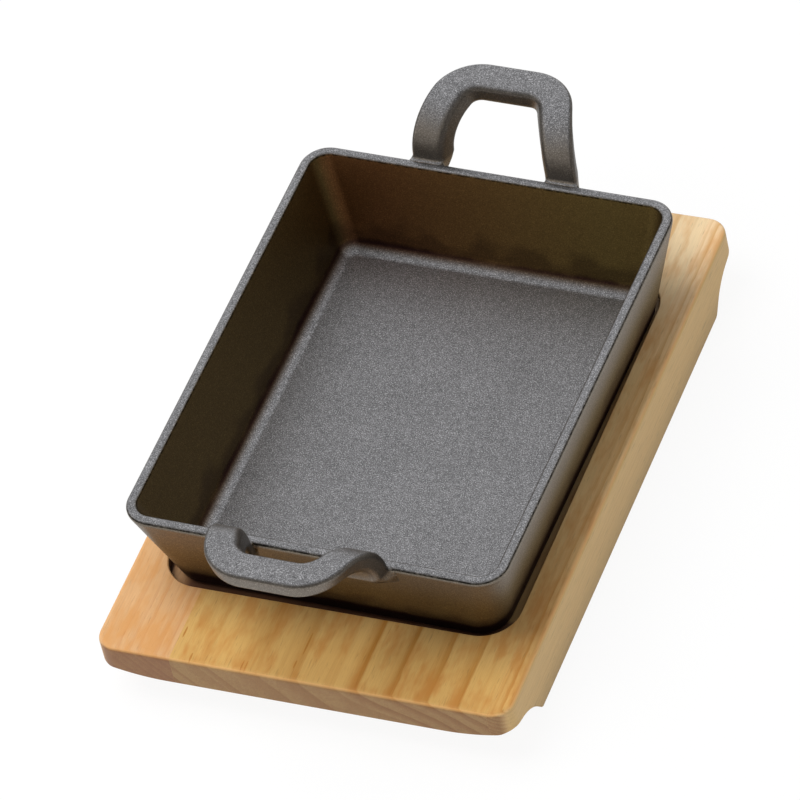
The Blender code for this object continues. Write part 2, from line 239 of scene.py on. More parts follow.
class ServingPanFinishes(PropertyGroup):
    """Colours of the casting and of the three staves"""

    # The level faces' grey brightness is a painted sheen of the overhead light
    iron: colour("Iron", "Seasoned iron on level faces", (0.250, 0.249, 0.257))
    iron_steep: colour("Steep Iron", "Browner seasoning on the walls' outside", (0.166, 0.132, 0.073))
    iron_inside: colour("Iron Inside", "Brown oil film on the walls' inside", (0.150, 0.101, 0.038))
    iron_oiled: colour("Iron Oiled", "Red-brown oil baked on the rear wall's inside", (0.250, 0.116, 0.045))
    iron_handle: colour("Iron Handle", "Seasoning on the handles' upright faces", (0.190, 0.166, 0.141))
    # Painted shade and dark reflection round the pan's foot, and how high it rises
    foot_shade: colour("Foot Shade", "Painted shade and dark reflection round the foot", (0.030, 0.013, 0.012))
    foot_shade_rise: length("Foot Shade Rise", "How far the painted foot shade rises over the board", 0.0045)
    grain: length("Grain", "Size of the sand-cast grain", 0.00047)
    left_pale: colour("Left Stave Pale", "Earlywood of the left stave", (0.64, 0.37, 0.17))
    left_dark: colour("Left Stave Dark", "Latewood of the left stave", (0.50, 0.21, 0.065))
    middle_pale: colour("Middle Stave Pale", "Earlywood of the middle stave", (0.76, 0.52, 0.24))
    middle_dark: colour("Middle Stave Dark", "Latewood of the middle stave", (0.54, 0.27, 0.07))
    right_pale: colour("Right Stave Pale", "Earlywood of the right stave", (0.76, 0.50, 0.23))
    right_dark: colour("Right Stave Dark", "Latewood of the right stave", (0.60, 0.32, 0.10))
    front_tint: colour("Front Tint", "Deeper, more saturated tone on the pale staves near the front", (0.78, 0.68, 0.46))
    mottle: colour("Mottle", "Orange resin stains on the top", (0.60, 0.27, 0.07))
    worn: colour("Worn Edge", "Oil-darkened wood along the board's edges", (0.72, 0.36, 0.11))
    # Painted shade in the recess round the pan
    recess_shade: colour("Recess Shade Colour", "Painted shade on the recess's floor and walls", (0.085, 0.032, 0.018))


class ServingPanStage(PropertyGroup):
    """The camera and the light"""

    azimuth: angle("Azimuth", "Turn of the camera round the pan", 30.61131)
    elevation: angle("Elevation", "Camera's angle above the table", 46.46475)
    roll: angle("Roll", "Turn of the picture", -13.88996)
    distance: length("Distance", "From the camera to the board's top", 3.220915)
    lens: share("Lens", "Focal length on the sensor's 36 mm, in millimetres", 367.3395)
    aim_right: offset("Aim Right", "How far right of the centre the object lies", 0.006317)
    aim_up: offset("Aim Up", "How far above the centre the object lies", -0.011604)
    sky: share("Sky", "Strength of the even light from all round", 0.50)
    key: share("Key", "Power of the large soft lamp, in watts", 27.0)
    key_size: length("Key Size", "Diameter of the large soft lamp", 1.4)
    dark_side: share("Dark Side", "Strength of the studio's unlit side in reflections", 0.58)


def sizes_by_name(group):
    """The values of a property group under the names that its properties show."""
    properties = group.bl_rna.properties
    return {properties[key].name: getattr(group, key) for key in type(group).__annotations__}


def opaque(tone):
    return (*tone, 1.0)


# Node trees


class TreeBuilder:
    """Adds nodes to one tree from left to right, and joins them."""

    def __init__(self, tree):
        self.tree = tree
        self.column = 0

    def feed(self, socket, value):
        if isinstance(value, bpy.types.NodeSocket):
            self.tree.links.new(value, socket)
        elif value is not None:
            socket.default_value = value

    def add(self, kind, inputs=None, **settings):
        node = self.tree.nodes.new(kind)
        self.column += 1
        node.location = (180 * self.column, -220 * (self.column % 4))
        for name, value in settings.items():
            setattr(node, name, value)
        for name, value in (inputs or {}).items():
            self.feed(node.inputs[name], value)
        return node

    def made(self, kind, inputs=None, **settings):
        """The first output of a new node."""
        return self.add(kind, inputs, **settings).outputs[0]

    def calc(self, operation, *values):
        return self.made("ShaderNodeMath", dict(enumerate(values)), operation=operation)

    def plus(self, first, second):
        return self.calc("ADD", first, second)

    def minus(self, first, second):
        return self.calc("SUBTRACT", first, second)

    def times(self, first, *others):
        for other in others:
            first = self.calc("MULTIPLY", first, other)
        return first

    def clamped(self, value):
        return self.made("ShaderNodeClamp", {"Value": value})

    def vector(self, operation, *values):
        return self.made("ShaderNodeVectorMath", dict(enumerate(values)), operation=operation)

    def scaled(self, vector, factor):
        return self.made("ShaderNodeVectorMath", {0: vector, "Scale": factor}, operation="SCALE")

    def split(self, vector):
        return self.add("ShaderNodeSeparateXYZ", {0: vector}).outputs

    def join(self, x, y, z):
        return self.made("ShaderNodeCombineXYZ", {0: x, 1: y, 2: z})

    def ramp(self, value, low, high, to_low=0.0, to_high=1.0, smooth=False):
        kind = "SMOOTHSTEP" if smooth else "LINEAR"
        inputs = dict(enumerate((value, low, high, to_low, to_high)))
        return self.made("ShaderNodeMapRange", inputs, interpolation_type=kind, clamp=True)

    def band(self, value, low, full, until, high):
        """A mask that rises from low to full and falls from until to high."""
        return self.times(self.ramp(value, low, full), self.ramp(value, until, high, 1.0, 0.0))

    def darkened(self, shade, mask, least):
        """The shade times a factor that falls from 1 to the least one where the mask is full."""
        return self.times(shade, self.ramp(mask, 0.0, 1.0, 1.0, least))

    def blend(self, factor, first, second, mode="MIX"):
        node = self.add("ShaderNodeMix", data_type="RGBA", blend_type=mode)
        for identifier, value in (("Factor_Float", factor), ("A_Color", first), ("B_Color", second)):
            self.feed(next(s for s in node.inputs if s.identifier == identifier), value)
        return next(s for s in node.outputs if s.identifier == "Result_Color")

    def toned(self, colour, tone):
        return self.blend(1.0, colour, tone, "MULTIPLY")

    def add_group(self, group, inputs):
        return self.add("ShaderNodeGroup", inputs, node_tree=group).outputs

    def noise(self, vector, scale, detail=2.0, roughness=0.5):
        inputs = {"Vector": vector, "Scale": scale, "Detail": detail, "Roughness": roughness}
        return self.made("ShaderNodeTexNoise", inputs)


def new_group(name, inputs, outputs, kind="ShaderNodeTree"):
    """An empty node group with these named sockets, its builder and its inputs."""
    tree = bpy.data.node_groups.new(name, kind)
    for way, sockets in (("INPUT", inputs), ("OUTPUT", outputs)):
        for label, value in sockets:
            tree.interface.new_socket(label, in_out=way, socket_type="NodeSocket" + value)
    build = TreeBuilder(tree)
    return tree, build, build.add("NodeGroupInput").outputs


def new_sweep(name, lengths, steps):
    """An empty Geometry Nodes tree that makes a mesh of a curve, with these named inputs."""
    inputs = [("Geometry", "Geometry")] + [(label, "Float") for label in lengths]
    inputs += [(label, "Int") for label in steps] + [("Material", "Material")]
    tree, build, given = new_group(name, inputs, [("Geometry", "Geometry")], "GeometryNodeTree")
    tree.is_modifier = True
    return tree, build, given


def finish_geometry_tree(build, mesh, material):
    """Closes the seams, sets the material and ends the tree."""
    mesh = build.made("GeometryNodeMergeByDistance", {"Geometry": mesh, "Distance": MERGE_DISTANCE})
    mesh = build.made("GeometryNodeSetShadeSmooth", {"Geometry": mesh})
    mesh = build.made("GeometryNodeRealizeInstances", {"Geometry": mesh})
    mesh = build.made("GeometryNodeSetMaterial", {"Geometry": mesh, "Material": material})
    build.add("NodeGroupOutput", {"Geometry": mesh})


def capture(build, geometry, name, value):
    """Keeps a vector of each point, such as its first place, and returns the geometry and the field."""
    node = build.add("GeometryNodeCaptureAttribute")
    node.capture_items.new("VECTOR", name)
    build.feed(node.inputs[0], geometry)
    build.feed(node.inputs[1], value)
    return node.outputs[0], node.outputs[1]


def ring_sweep_tree():
    """Sweeps a wall section round a rounded rectangle whose size changes with the height."""
    label = "Drafted Ring Sweep"
    if label in bpy.data.node_groups:
        return bpy.data.node_groups[label]
    lengths = ["Width", "Length", "Height", "Side Draft", "End Draft", "Corner Radius", "Least Radius"]
    tree, build, given = new_sweep(label, lengths, ["Round Steps", "Corner Steps"])
    place = build.made("GeometryNodeInputPosition")
    radius = build.made("GeometryNodeInputRadius")

    rounds = {"Curve": given["Geometry"], "Count": given["Round Steps"], "Radius": radius}
    section = build.made("GeometryNodeFilletCurve", rounds, mode="POLY")
    section, section_place = capture(build, section, "Section", place)
    square = build.made("GeometryNodeCurvePrimitiveQuadrilateral", {"Width": 2.0, "Height": 2.0})
    corners = {"Curve": square, "Count": given["Corner Steps"], "Radius": 0.5}
    ring = build.made("GeometryNodeFilletCurve", corners, mode="POLY")
    ring, ring_place = capture(build, ring, "Ring", place)
    wall = build.made("GeometryNodeCurveToMesh", {"Curve": ring, "Profile Curve": section})

    quadrant = build.vector("SIGN", ring_place)
    direction = build.vector("SUBTRACT", ring_place, build.scaled(quadrant, 0.5))
    direction = build.scaled(direction, 2.0)
    depth, height, _ = build.split(section_place)
    drawn_in = build.minus(1.0, build.calc("DIVIDE", height, given["Height"]))

    def half_size(size, draft):
        here = build.minus(build.times(size, 0.5), build.times(draft, drawn_in))
        return build.calc("MAXIMUM", build.minus(here, depth), 0.0)

    half_x = half_size(given["Width"], given["Side Draft"])
    half_y = half_size(given["Length"], given["End Draft"])
    rounding = build.minus(given["Corner Radius"], depth)
    rounding = build.calc("MAXIMUM", rounding, given["Least Radius"])
    rounding = build.calc("MINIMUM", rounding, half_x)

    def coordinate(half, axis):
        straight = build.times(build.minus(half, rounding), build.split(quadrant)[axis])
        return build.calc("MULTIPLY_ADD", build.split(direction)[axis], rounding, straight)

    target = build.join(coordinate(half_x, 0), coordinate(half_y, 1), height)
    moved = build.made("GeometryNodeSetPosition", {"Geometry": wall, "Position": target})
    finish_geometry_tree(build, moved, given["Material"])
    return tree


def bent_strap_tree():
    """Sweeps a rounded bar along a flat line, then bends it from upright to level over the bend radius."""
    lengths = ["Handle Width", "Handle Thickness", "Handle Edge", "Handle Bend", "Handle Angle"]
    lengths += ["Arm Outer Draft", "Arm Hole Draft", "End Outer Draft", "End Hole Draft"]
    lengths += ["Handle Haunch", "Full Above", "Wall Middle", "Handle Set In", "Wall Slope"]
    lengths += ["Root Sink", "Rim Outer Round", "Root Fillet"]
    tree, build, given = new_sweep("Bent Strap Sweep", lengths, ["Round Steps"])
    place = build.made("GeometryNodeInputPosition")
    tangent = build.made("GeometryNodeInputTangent")
    width, thickness, bend = (given["Handle " + name] for name in ("Width", "Thickness", "Bend"))
    rim_round, root_fillet = given["Rim Outer Round"], given["Root Fillet"]
    haunch, sink = given["Handle Haunch"], given["Root Sink"]

    line, line_place = capture(build, given["Geometry"], "Line", place)
    line, heading = capture(build, line, "Heading", tangent)
    block = {"Width": width, "Height": thickness}
    block = build.made("GeometryNodeCurvePrimitiveQuadrilateral", block)
    rounds = {"Curve": block, "Count": given["Round Steps"], "Radius": given["Handle Edge"]}
    bar = build.made("GeometryNodeFilletCurve", rounds, mode="POLY")
    bar, bar_place = capture(build, bar, "Bar", place)
    sweep = {"Curve": line, "Profile Curve": bar, "Fill Caps": True}
    strap = build.made("GeometryNodeCurveToMesh", sweep)

    across, level, _ = build.split(bar_place)
    heading_x, heading_y, _ = build.split(heading)
    line_x, line_y, _ = build.split(line_place)
    along = build.minus(line_y, build.times(across, heading_x))

    def fillet(distance):
        near = build.calc("DIVIDE", build.plus(distance, sink), root_fillet)
        near = build.minus(1.0, build.clamped(near))
        flat = build.calc("SQRT", build.minus(1.0, build.times(near, near)))
        return build.times(root_fillet, build.minus(1.0, flat))

    below = build.calc("MINIMUM", along, 0.0)
    wall_face = build.calc("MULTIPLY_ADD", below, given["Wall Slope"], given["Handle Set In"])
    buried = build.ramp(along, build.times(haunch, -0.25), 0.0, 1.0, 0.0)
    in_wall = build.minus(wall_face, given["Wall Middle"])
    on_rim = build.times(fillet(build.calc("MAXIMUM", along, 0.0)), -1.0)
    inner = build.calc("MULTIPLY_ADD", build.minus(in_wall, on_rim), buried, on_rim)
    low = build.times(haunch, -1.0)
    swell = build.ramp(along, low, given["Full Above"], smooth=True)
    foot = build.minus(wall_face, sink)
    outer = build.calc("MULTIPLY_ADD", build.minus(thickness, foot), swell, foot)
    inner_share = build.minus(0.5, build.calc("DIVIDE", level, thickness))
    depth = build.calc("MULTIPLY_ADD", build.minus(outer, inner), inner_share, inner)

    above = build.calc("MAXIMUM", build.plus(along, rim_round), 0.0)
    before = build.plus(build.minus(depth, wall_face), rim_round)
    before = build.calc("MAXIMUM", before, 0.0)
    reach = build.calc("SQRT", build.plus(build.times(above, above), build.times(before, before)))
    reach = build.minus(reach, rim_round)
    wider = build.calc("DIVIDE", fillet(build.calc("MAXIMUM", reach, 0.0)), width)
    outer_share = build.plus(build.calc("DIVIDE", across, width), 0.5)
    across = build.times(across, build.calc("MULTIPLY_ADD", wider, 2.0, 1.0))

    def drafted(hole_draft, outer_draft):
        lean = build.calc("MULTIPLY_ADD", build.minus(outer_draft, hole_draft), outer_share, hole_draft)
        return build.minus(across, build.times(lean, build.calc("MAXIMUM", depth, 0.0)))

    side = drafted(given["Arm Hole Draft"], given["Arm Outer Draft"])
    x = build.calc("MULTIPLY_ADD", side, heading_y, line_x)
    side = drafted(given["End Hole Draft"], given["End Outer Draft"])
    along = build.minus(line_y, build.times(side, heading_x))

    turned = build.calc("MAXIMUM", build.calc("DIVIDE", along, bend), 0.0)
    turned = build.calc("MINIMUM", turned, given["Handle Angle"])
    past = build.minus(along, build.times(turned, bend))
    cosine, sine = build.calc("COSINE", turned), build.calc("SINE", turned)
    out = build.calc("MULTIPLY_ADD", past, sine, build.times(bend, build.minus(1.0, cosine)))
    out = build.calc("MULTIPLY_ADD", depth, cosine, out)
    up = build.calc("MULTIPLY_ADD", past, cosine, build.times(bend, sine))
    up = build.minus(up, build.times(depth, sine))
    bent = {"Geometry": strap, "Position": build.join(x, out, up)}
    bent = build.made("GeometryNodeSetPosition", bent)
    finish_geometry_tree(build, bent, given["Material"])
    return tree


def add_object(name, data):
    obj = bpy.data.objects.new(name, data)
    bpy.context.scene.collection.objects.link(obj)
    return obj


def poly_curve(name, points):
    """An open curve object through points (x, y) or (x, y, radius)."""
    curve = bpy.data.curves.new(name, "CURVE")
    curve.dimensions = "3D"
    spline = curve.splines.new("POLY")
    spline.points.add(len(points) - 1)
    for point, (x, y, *radius) in zip(spline.points, points):
        point.co = (x, y, 0, 1)
        point.radius = radius[0] if radius else 0.0
    return add_object(name, curve)


def evaluated_mesh(obj, name):
    """What the object's modifiers make of it, as a plain mesh."""
    bpy.context.view_layer.update()
    graph = bpy.context.evaluated_depsgraph_get()
    mesh = bpy.data.meshes.new_from_object(obj.evaluated_get(graph))
    mesh.name = name
    return mesh


def swept(name, curve, tree, values):
    """The plain, outward facing mesh object that a Geometry Nodes tree makes of a curve."""
    modifier = curve.modifiers.new("Sweep", "NODES")
    modifier.node_group = tree
    for item in tree.interface.items_tree:
        if item.in_out == "INPUT" and item.name in values:
            modifier[item.identifier] = values[item.name]
    mesh = evaluated_mesh(curve, name)
    bpy.data.objects.remove(curve, do_unlink=True)
    shape = bmesh.new()
    shape.from_mesh(mesh)
    bmesh.ops.dissolve_degenerate(shape, dist=MERGE_DISTANCE / 2, edges=shape.edges)
    bmesh.ops.recalc_face_normals(shape, faces=shape.faces)
    shape.to_mesh(mesh)
    shape.free()
    return add_object(name, mesh)


def combined(name, base, others, sharp_degrees):
    """The base after its boolean operations, as a plain mesh object with even shading."""
    for operation, other in others:
        modifier = base.modifiers.new(operation.title(), "BOOLEAN")
        modifier.operation = operation
        modifier.object = other
        modifier.solver = "EXACT"
    mesh = evaluated_mesh(base, name)
    if not mesh.polygons:
        raise RuntimeError(name + " came out empty")
    obj = add_object(name, mesh)
    mesh.shade_smooth()
    mesh.set_sharp_from_angle(angle=math.radians(sharp_degrees))
    weighted = obj.modifiers.new("Even Shading", "WEIGHTED_NORMAL")
    weighted.keep_sharp = True
    weighted.weight = 80
    mesh = evaluated_mesh(obj, name)
    obj.modifiers.clear()
    obj.data = mesh
    return obj


def discard(*objects):
    for obj in objects:
        bpy.data.objects.remove(obj, do_unlink=True)


def mesh_object(name, shape):
    """The mesh object of a bmesh, which is freed."""
    mesh = bpy.data.meshes.new(name)
    shape.to_mesh(mesh)
    shape.free()
    return add_object(name, mesh)


def box_object(name, low, high):
    shape = bmesh.new()
    bmesh.ops.create_cube(shape, size=1.0)
    place = Matrix.Translation((low + high) / 2) @ Matrix.Diagonal((*(high - low), 1))
    bmesh.ops.transform(shape, matrix=place, verts=shape.verts)
    return mesh_object(name, shape)


def rounded(corners, steps):
    """The line through corners (x, y, radius), with an arc at each corner that has a radius."""
    points = []
    for index, (x, y, radius) in enumerate(corners):
        here = Vector((x, y))
        if radius <= 0:
            points.append(here)
            continue
        before = (Vector(corners[index - 1][:2]) - here).normalized()
        after = (Vector(corners[(index + 1) % len(corners)][:2]) - here).normalized()
        half = before.angle(after) / 2
        middle = here + (before + after).normalized() * radius / math.sin(half)
        start = here + before * radius / math.tan(half) - middle
        turn = start.angle_signed(here + after * radius / math.tan(half) - middle)
        for step in range(steps + 1):
            points.append(middle + Matrix.Rotation(-turn * step / steps, 2) @ start)
    return points


# Finishes


def new_material(name):
    material = bpy.data.materials.new(name)
    material.use_nodes = True
    material.node_tree.nodes.clear()
    return material, TreeBuilder(material.node_tree)


def end_material(build, inputs):
    shader = build.made("ShaderNodeBsdfPrincipled", inputs)
    build.add("ShaderNodeOutputMaterial", {"Surface": shader})


def casting_places(build, pan):
    """Where a point lies on the casting, by its place and by the way that its face looks."""
    at = SimpleNamespace(place=build.add("ShaderNodeTexCoord").outputs["Object"])
    normal = build.add("ShaderNodeNewGeometry").outputs["Normal"]
    at.x, y, at.height = build.split(at.place)
    normal_x, normal_y, normal_z = build.split(normal)
    at.sideways = build.calc("ABSOLUTE", normal_x)
    at.upright = build.calc("ABSOLUTE", normal_z)
    at.steep = build.ramp(at.upright, 0.50, 0.97, 1.0, 0.0, smooth=True)
    at.toward_front = build.ramp(normal_y, -0.9, -0.5, 1.0, 0.0)
    at.rim = PAN_LOW.z + pan.height
    at.lifted = build.ramp(at.height, at.rim - 0.0005, at.rim + 0.001)

    from_middle = build.calc("ABSOLUTE", y)
    rim_end = pan.rim_length / 2
    within = build.ramp(from_middle, rim_end - 0.0008, rim_end, 1.0, 0.0)
    outward = build.plus(build.times(normal_x, at.x), build.times(normal_y, y))
    at.inside = build.times(build.ramp(outward, -0.010, 0.0, 1.0, 0.0), within)
    hole_end = PAN_HIGH.y - pan.handle_width
    at.handle_end = build.ramp(from_middle, hole_end - 0.0019, hole_end + 0.0001)
    at.cloud = build.noise(at.place, 45.0, 3.0, 0.5)
    return at


def iron_skin(build, at, finishes):
    """The iron's colour: grey on level faces as a painted sheen, grey on the handles, grey under the rim on
    the outside as a painted reflection, and the seasoning's brown elsewhere.
    """
    inside, handle = opaque(finishes.iron_inside), opaque(finishes.iron_handle)
    # On the rear wall, the inside faces that look towards the front are lighter
    rear = build.toned(inside, REAR_WALL_TONE)
    rear = build.blend(build.ramp(at.x, -0.045, 0.05), opaque(finishes.iron_oiled), rear)
    walls = build.blend(at.toward_front, inside, rear)
    # Painted reflection: the outer walls turn grey towards the rim
    under_rim = build.ramp(at.height, at.rim - 0.026, at.rim - 0.005, 0.0, 0.8, smooth=True)
    outside = build.blend(under_rim, opaque(finishes.iron_steep), handle)
    skin = build.blend(at.inside, outside, walls)
    skin = build.blend(at.lifted, skin, handle)
    # Painted sheen: level faces take the bright grey of the overhead light
    return build.blend(at.steep, opaque(finishes.iron), skin)


def painted_foot_shade(build, at, finishes):
    """A mask of painted shade and dark reflection round the foot, whose upper edge is uneven."""
    top = BOARD_HIGH.z + finishes.foot_shade_rise
    smoky = build.plus(at.height, build.ramp(at.cloud, 0.3, 0.7, -0.0012, 0.0012))
    foot = build.ramp(smoky, top - 0.002, top + 0.002, 1.0, 0.0, True)
    faint = build.ramp(build.noise(at.place, 60.0, 1.0), 0.35, 0.65, -0.004, 0.004)
    faint = build.plus(at.height, faint)
    faint = build.ramp(faint, top + 0.002, top + 0.010, 0.45, 0.0, True)
    return build.times(build.calc("MAXIMUM", foot, faint), at.steep)


def iron_shade(build, at, fine, coarse):
    """The iron's brightness: grain and mottling, a painted dark reflection along the rim's outer rounding,
    and painted shade on the handles' sides and edges.
    """
    pits = build.ramp(fine, 0.30, 0.52, 0.45, 1.0)
    shade = build.times(build.ramp(at.cloud, 0.3, 0.7, 0.93, 1.05), pits)
    shade = build.times(shade, build.ramp(coarse, 0.3, 0.7, 0.85, 1.12))
    sparkling = build.plus(shade, build.ramp(fine, 0.54, 0.74, 0.0, 1.6))
    contrast = build.ramp(at.steep, 0.0, 1.0, 1.0, 0.45)
    shade = build.calc("MULTIPLY_ADD", build.minus(sparkling, 1.0), contrast, 1.0)

    # Painted dark reflection along the rim's outer rounding, below the handles
    below_handles = build.ramp(at.lifted, 0.0, 0.3, 1.0, 0.0)
    at_rim = build.times(build.ramp(at.height, at.rim - 0.005, at.rim - 0.003), below_handles)
    rounding = build.band(at.upright, 0.30, 0.42, 0.68, 0.86)
    ragged = build.ramp(build.noise(at.place, 700.0, 2.0, 0.6), 0.3, 0.6, 0.55, 1.0)
    shade = build.darkened(shade, build.times(at_rim, rounding, ragged), 0.10)
    # Painted shade on the handles' sideways faces
    flank = build.times(build.ramp(at.sideways, 0.70, 0.94), at.lifted)
    shade = build.darkened(shade, flank, 0.42)
    # Painted dark reflection along the handles' side edges and end rounding
    side_edge = build.band(at.sideways, 0.30, 0.5, 0.8, 0.94)
    edge = build.calc("MAXIMUM", side_edge, build.times(at.handle_end, rounding))
    edge = build.times(edge, at.lifted, build.ramp(at.upright, 0.2, 0.4))
    return build.darkened(shade, edge, 0.5)


def cast_iron(finishes, pan):
    """Seasoned iron with the fine, sparkling grain that a sand mould leaves."""
    material, build = new_material("seasoned_cast_iron")
    at = casting_places(build, pan)
    fine = build.noise(at.place, 1.0 / finishes.grain, 2.0, 0.6)
    coarse = build.noise(at.place, 0.2 / finishes.grain, 2.0, 0.5)
    skin = iron_skin(build, at, finishes)
    # Painted shade and dark reflection: the iron turns almost black round its foot, near the board
    skin = build.blend(painted_foot_shade(build, at, finishes), skin, opaque(finishes.foot_shade))
    shade = iron_shade(build, at, fine, coarse)
    relief = build.calc("MULTIPLY_ADD", coarse, 0.6, fine)
    bump = build.made("ShaderNodeBump", {"Strength": 0.45, "Distance": 0.00014, "Height": relief})
    inputs = {"Base Color": build.scaled(skin, shade), "Metallic": 1.0}
    inputs |= {"Roughness": build.ramp(fine, 0.3, 0.7, 0.52, 0.40), "Normal": bump}
    end_material(build, inputs)
    return material


def ring_group():
    """How far across the board's top, in millimetres, the growth ring through a point comes up.

    The rings lean, so that they rise to the left, and wander a little along the board.
    """
    tree, build, given = new_group("Pine Rings", [("Vector", "Vector")], [("Across", "Float")])
    x, y, z = build.split(build.scaled(given["Vector"], MILLIMETRES))
    down = build.minus(BOARD_HIGH.z * MILLIMETRES, z)
    slope = build.ramp(x, 10.0, 48.0, 1.0, 2.2, True)
    slope = build.minus(slope, build.ramp(x, 56.0, 70.0, 0.0, 0.5))
    drift = build.noise(build.join(build.times(x, 0.4), y, z), 0.011, 1.0)
    wobble = build.join(build.times(x, 0.6), build.times(y, 0.5), z)
    wobble = build.noise(wobble, 0.16, 2.0)
    across = build.minus(x, build.times(down, slope))
    across = build.plus(across, build.ramp(drift, 0.2, 0.8, -1.1, 1.1))
    across = build.plus(across, build.ramp(wobble, 0.2, 0.8, -0.35, 0.35))
    build.add("NodeGroupOutput", {"Across": across})
    return tree


def painted_recess_shade(build, given, x, y, z):
    """A mask of painted shade on the recess's floor and walls, darkest along its edge and at its front."""
    low = build.ramp(z, BOARD_HIGH.z - 0.0008, BOARD_HIGH.z - 0.0004, 1.0, 0.0)
    to_side = build.minus(given["Recess X"], build.calc("ABSOLUTE", x))
    to_end = build.minus(given["Recess Y"], build.calc("ABSOLUTE", y))
    inward = build.calc("MINIMUM", to_side, to_end)
    in_recess = build.times(low, build.ramp(inward, -0.0012, -0.0008))
    at_front = build.times(build.ramp(x, -0.072, -0.062), build.ramp(y, -0.084, -0.080, 0.95, 0.0))
    strength = build.calc("MAXIMUM", build.ramp(inward, 0.0014, 0.0022, 0.92, 0.45), at_front)
    return build.times(in_recess, strength)


def pine_group():
    """Oiled, planed pine: fibres and pores along the board, darker end grain and sides that partly carry
    painted shade, sides darker towards the table, painted shade in the recess, and worn edges.
    """
    inputs = [(name, "Vector") for name in ("Vector", "Normal")]
    inputs += [(name, "Float") for name in ("Latewood", "Recess X", "Recess Y")]
    inputs += [(name, "Color") for name in ("Front", "Mottle", "Pale", "Dark", "Worn", "Recess Shade")]
    outputs = [("Color", "Color"), ("Height", "Float"), ("Roughness", "Float")]
    tree, build, given = new_group("Oiled Pine", inputs, outputs)
    x, y, z = build.split(given["Vector"])
    facing_x, facing_y, facing_z = build.split(build.vector("ABSOLUTE", given["Normal"]))
    on_top = build.ramp(facing_z, 0.6, 0.9)
    end_grain = build.ramp(facing_y, 0.55, 0.9, 0.0, 1.0, True)
    flank = build.ramp(facing_x, 0.55, 0.9, 0.0, 1.0, True)

    def along_grain(squeeze, *settings):
        return build.noise(build.join(x, build.times(y, squeeze), z), *settings)

    fibres = along_grain(0.03, 2600.0, 3.0, 0.65)
    pores = along_grain(0.09, 1500.0, 1.0, 0.5)
    streaks = build.ramp(along_grain(0.03, 420.0, 3.0, 0.6), 0.25, 0.75, -0.16, 0.20)
    late = build.plus(given["Latewood"], streaks)
    late = build.plus(late, build.ramp(along_grain(0.12, 75.0, 2.0, 0.5), 0.3, 0.7, -0.10, 0.16))
    late = build.clamped(build.darkened(late, flank, 0.55))
    late = build.calc("POWER", late, build.ramp(end_grain, 0.0, 1.0, 1.55, 0.6))
    shade = build.ramp(fibres, 0.25, 0.75, 0.90, 1.08)
    shade = build.times(shade, build.ramp(pores, 0.64, 0.74, 1.0, 0.80))
    wood = build.scaled(build.blend(late, given["Pale"], given["Dark"]), shade)
    stain = build.ramp(along_grain(0.30, 150.0, 3.0, 0.65), 0.46, 0.66, 0.0, 0.6)
    wood = build.blend(build.times(on_top, stain), wood, given["Mottle"])

    # The pale staves turn deeper and more saturated towards the front
    tint = build.blend(build.ramp(y, -0.115, -0.02), given["Front"], WHITE)
    tint = build.blend(build.ramp(y, 0.04, 0.11), tint, REAR_LIGHT)
    wood = build.blend(on_top, wood, build.toned(wood, tint))
    # The sides' own tone together with painted shade
    wood = build.blend(flank, wood, build.toned(wood, FLANK_TONE))
    speckle = build.ramp(along_grain(0.3, 2200.0, 2.0, 0.6), 0.3, 0.7, 0.86, 1.10)
    # The end grain's darker tone, partly painted shade
    wood = build.blend(end_grain, wood, build.scaled(build.toned(wood, END_TONE), speckle))
    # The sides and end grain grow darker towards the table
    foot = build.minus(build.ramp(z, 0.0, 0.012, 0.80, 1.0), 1.0)
    sides = build.calc("MAXIMUM", end_grain, flank)
    wood = build.scaled(wood, build.calc("MULTIPLY_ADD", foot, sides, 1.0))
    round_edge = build.times(build.calc("MAXIMUM", facing_x, facing_y), facing_z)
    round_edge = build.ramp(round_edge, 0.36, 0.48, 0.0, 0.35, True)
    wood = build.blend(round_edge, wood, given["Worn"])
    # Painted shade: the recess darkens along its edge and in its front strip
    wood = build.blend(painted_recess_shade(build, given, x, y, z), wood, given["Recess Shade"])
    height = build.minus(fibres, build.ramp(pores, 0.62, 0.74, 0.0, 0.9))
    roughness = build.ramp(late, 0.0, 1.0, 0.56, 0.44)
    build.add("NodeGroupOutput", {"Color": wood, "Height": height, "Roughness": roughness})
    return tree


def latewood(build, across, low, high, bands):
    """A mask that rises slowly over each growth ring (start, edge, strength) and drops at its edge."""
    wrapped = build.calc("WRAP", across, high, low)
    node = build.add("ShaderNodeValToRGB", {"Fac": build.ramp(wrapped, low, high)})
    stops = []
    for start, edge, strength in bands:
        stops += [(start, 0.0), (edge, strength), (edge + RING_EDGE, 0.0)]
    elements = node.color_ramp.elements
    while len(elements) < len(stops):
        elements.new(0.5)
    for element, (place, strength) in zip(elements, stops):
        element.position = (place - low) / (high - low)
        element.color = (strength, strength, strength, 1.0)
    return node.outputs[0]


def flecks(build, place, marks):
    """Short dark resin streaks (x, y, half width, half length), in millimetres."""
    x, y, z = build.split(build.scaled(place, MILLIMETRES))
    total = 0.0
    for middle_x, middle_y, half_width, half_length in marks:
        side = build.calc("DIVIDE", build.minus(x, middle_x), half_width)
        run = build.calc("DIVIDE", build.minus(y, middle_y), half_length)
        reach = build.plus(build.times(side, side), build.times(run, run))
        total = build.plus(total, build.ramp(reach, 0.3, 1.0, 1.0, 0.0, True))
    return build.times(total, build.ramp(z, 24.0, 26.0))


def recess_half_sizes(board, pan):
    """Half width and half length of the recess, which follows the pan at the board's top."""
    drawn_in = 1 - (BOARD_HIGH.z - PAN_LOW.z) / pan.height
    half_x = pan.rim_width / 2 - pan.side_draft * drawn_in + board.recess_clearance
    half_y = pan.rim_length / 2 - pan.end_draft * drawn_in + board.recess_clearance
    return half_x, half_y


